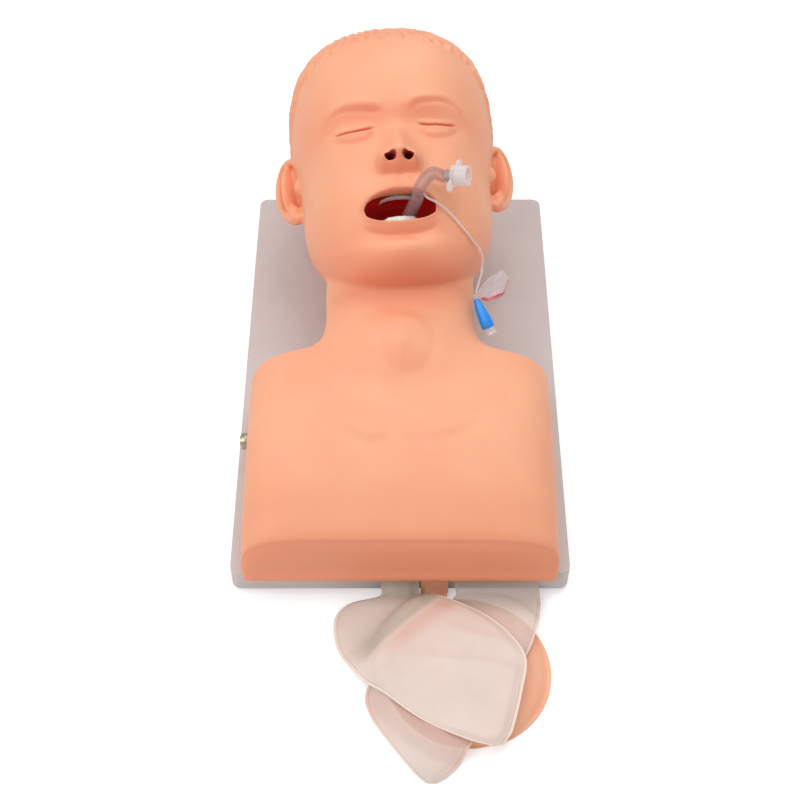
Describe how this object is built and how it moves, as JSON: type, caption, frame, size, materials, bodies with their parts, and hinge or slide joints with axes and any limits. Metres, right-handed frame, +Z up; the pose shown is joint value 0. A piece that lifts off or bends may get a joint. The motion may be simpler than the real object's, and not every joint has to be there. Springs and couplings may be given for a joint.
{
  "type": "intubation training manikin",
  "caption": "Adult head and upper torso lying on a base board, with an open mouth and airway, a tracheal tube in place, and film lung bags and a stomach bladder at its foot end.",
  "frame": {"origin": "middle of the footprint, on the surface that the board's feet stand on", "axes": "+X towards the manikin's left side (the viewer's right from the foot end), +Y towards the crown of the head, +Z up out of the face"},
  "size_m": [0.245, 0.5967, 0.218],
  "materials": {
    "skin": "satin",
    "board": "matte",
    "dark_rubber": "matte",
    "steel": "satin",
    "white_plastic": "satin",
    "mouth_red": "satin",
    "tongue_red": "satin",
    "teeth_white": "gloss",
    "airway_rubber": "satin",
    "airway_plastic": "satin",
    "lung_film": "satin",
    "bladder": "satin",
    "clear_plastic": "gloss",
    "connector_plastic": "gloss",
    "valve_blue": "gloss",
    "silicone": "satin"
  },
  "bodies": {
    "manikin": {"base_board": "board", "board_feet": "dark_rubber", "foot_screws": "steel", "left_skin_rail": "white_plastic", "right_skin_rail": "white_plastic", "rail_screws": "steel", "manikin_skin": "skin", "mouth_lining": "mouth_red", "tongue": "tongue_red", "upper_teeth": "teeth_white", "lower_teeth": "teeth_white", "nasal_channels": "mouth_red", "larynx": "airway_rubber", "windpipe": "airway_plastic", "gullet": "airway_rubber", "lung_connector": "white_plastic", "left_bronchus": "airway_rubber", "right_bronchus": "airway_rubber", "lung_neck_ties": "white_plastic", "stomach_neck_tie": "white_plastic", "left_lung_bag": "lung_film", "right_lung_bag": "lung_film", "stomach_bladder": "bladder", "socket_barrel": "steel", "socket_nut": "steel", "socket_washer": "steel", "socket_insulator": "dark_rubber", "tracheal_tube": "clear_plastic", "tube_cuff": "clear_plastic", "tube_connector": "connector_plastic", "pilot_line": "clear_plastic", "pilot_balloon": "clear_plastic", "valve_housing": "valve_blue", "valve_seal": "silicone", "valve_port": "connector_plastic"},
    "plunger": {"valve_plunger": "valve_blue"}
  },
  "joints": [
    {"name": "valve_plunger_slide", "type": "slide", "parent": "manikin", "child": "plunger", "axis": [-0.4121, 0.7157, 0.5639], "range_m": [0, 0.0015], "stiffness_N_per_m": 400, "springref_m": -0.0005}
  ]
}
